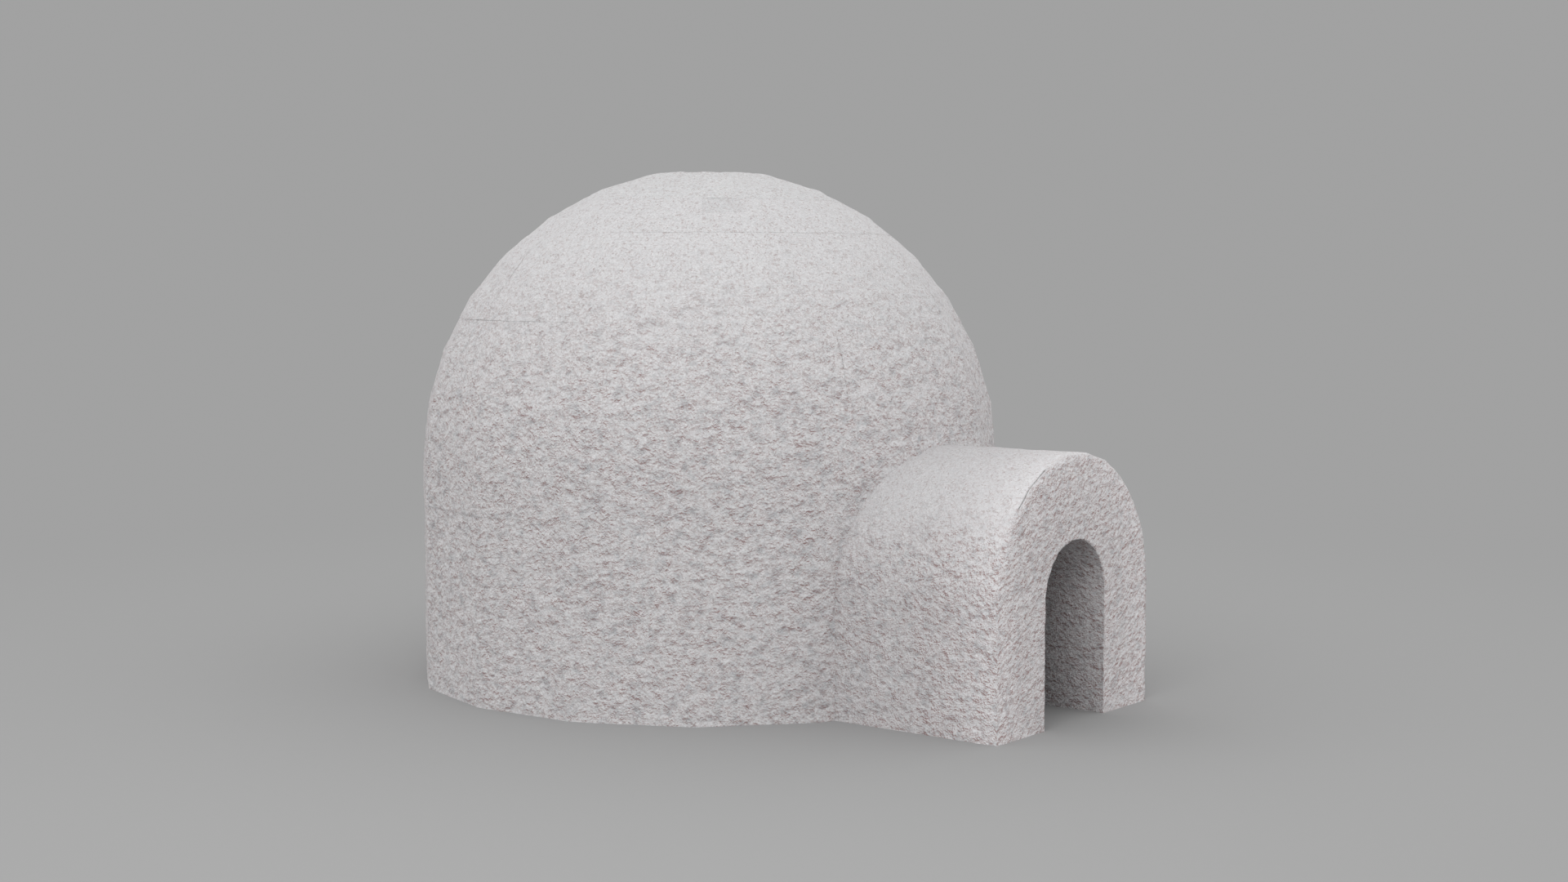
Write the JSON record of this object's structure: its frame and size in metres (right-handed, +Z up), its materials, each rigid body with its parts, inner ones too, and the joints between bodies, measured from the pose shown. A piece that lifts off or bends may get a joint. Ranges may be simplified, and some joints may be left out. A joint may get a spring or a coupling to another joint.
{
  "type": "igloo",
  "caption": "Domed snow-block shelter of many flat sides with a low, round-topped entrance tunnel and a hollow interior.",
  "frame": {"origin": "centre of the footprint's bounding box, on the ground the igloo stands on", "axes": "+Z up, -Y the way the entrance tunnel faces, +X to the right of someone facing +Y; the length runs along Y"},
  "size_m": [3.1984, 3.9892, 2.7869],
  "materials": {
    "wall_snow": "matt packed snow",
    "crown_snow": "matt packed snow",
    "patch_snow": "matt packed snow",
    "tunnel_snow": "matt packed snow",
    "entrance_snow": "matt packed snow"
  },
  "bodies": {
    "root": {"crown_back": "crown_snow", "crown_back_left": "crown_snow", "crown_back_right": "crown_snow", "crown_front_left": "crown_snow", "crown_front_right": "crown_snow", "doorway_lintel": "wall_snow", "front_arch_keystone": "entrance_snow", "front_arch_left_haunch": "entrance_snow", "front_arch_left_jamb": "entrance_snow", "front_arch_left_springer": "entrance_snow", "front_arch_right_haunch": "entrance_snow", "front_arch_right_jamb": "entrance_snow", "front_arch_right_springer": "entrance_snow", "key_block": "crown_snow", "patch_block": "patch_snow", "rear_arch_keystone": "tunnel_snow", "rear_arch_left_haunch": "tunnel_snow", "rear_arch_left_jamb": "tunnel_snow", "rear_arch_left_springer": "tunnel_snow", "rear_arch_right_haunch": "tunnel_snow", "rear_arch_right_jamb": "tunnel_snow", "rear_arch_right_springer": "tunnel_snow", "ring_1_back_left": "wall_snow", "ring_1_back_right": "wall_snow", "ring_1_front_left": "wall_snow", "ring_1_front_right": "wall_snow", "ring_2_back_left": "wall_snow", "ring_2_back_right": "wall_snow", "ring_2_front_left": "wall_snow", "ring_2_front_right": "wall_snow", "ring_3_back_left": "wall_snow", "ring_3_back_right": "wall_snow", "ring_3_front_left": "wall_snow", "ring_3_front_right": "wall_snow", "ring_4_back_left": "wall_snow", "ring_4_back_right": "wall_snow", "ring_4_front_left": "wall_snow", "ring_4_front_right": "wall_snow", "ring_5_back": "wall_snow", "ring_5_front_left": "wall_snow", "ring_5_right": "wall_snow", "ring_6_back_left": "wall_snow", "ring_6_back_right": "wall_snow", "ring_6_front_left": "wall_snow", "ring_6_front_right": "wall_snow"}
  },
  "joints": []
}
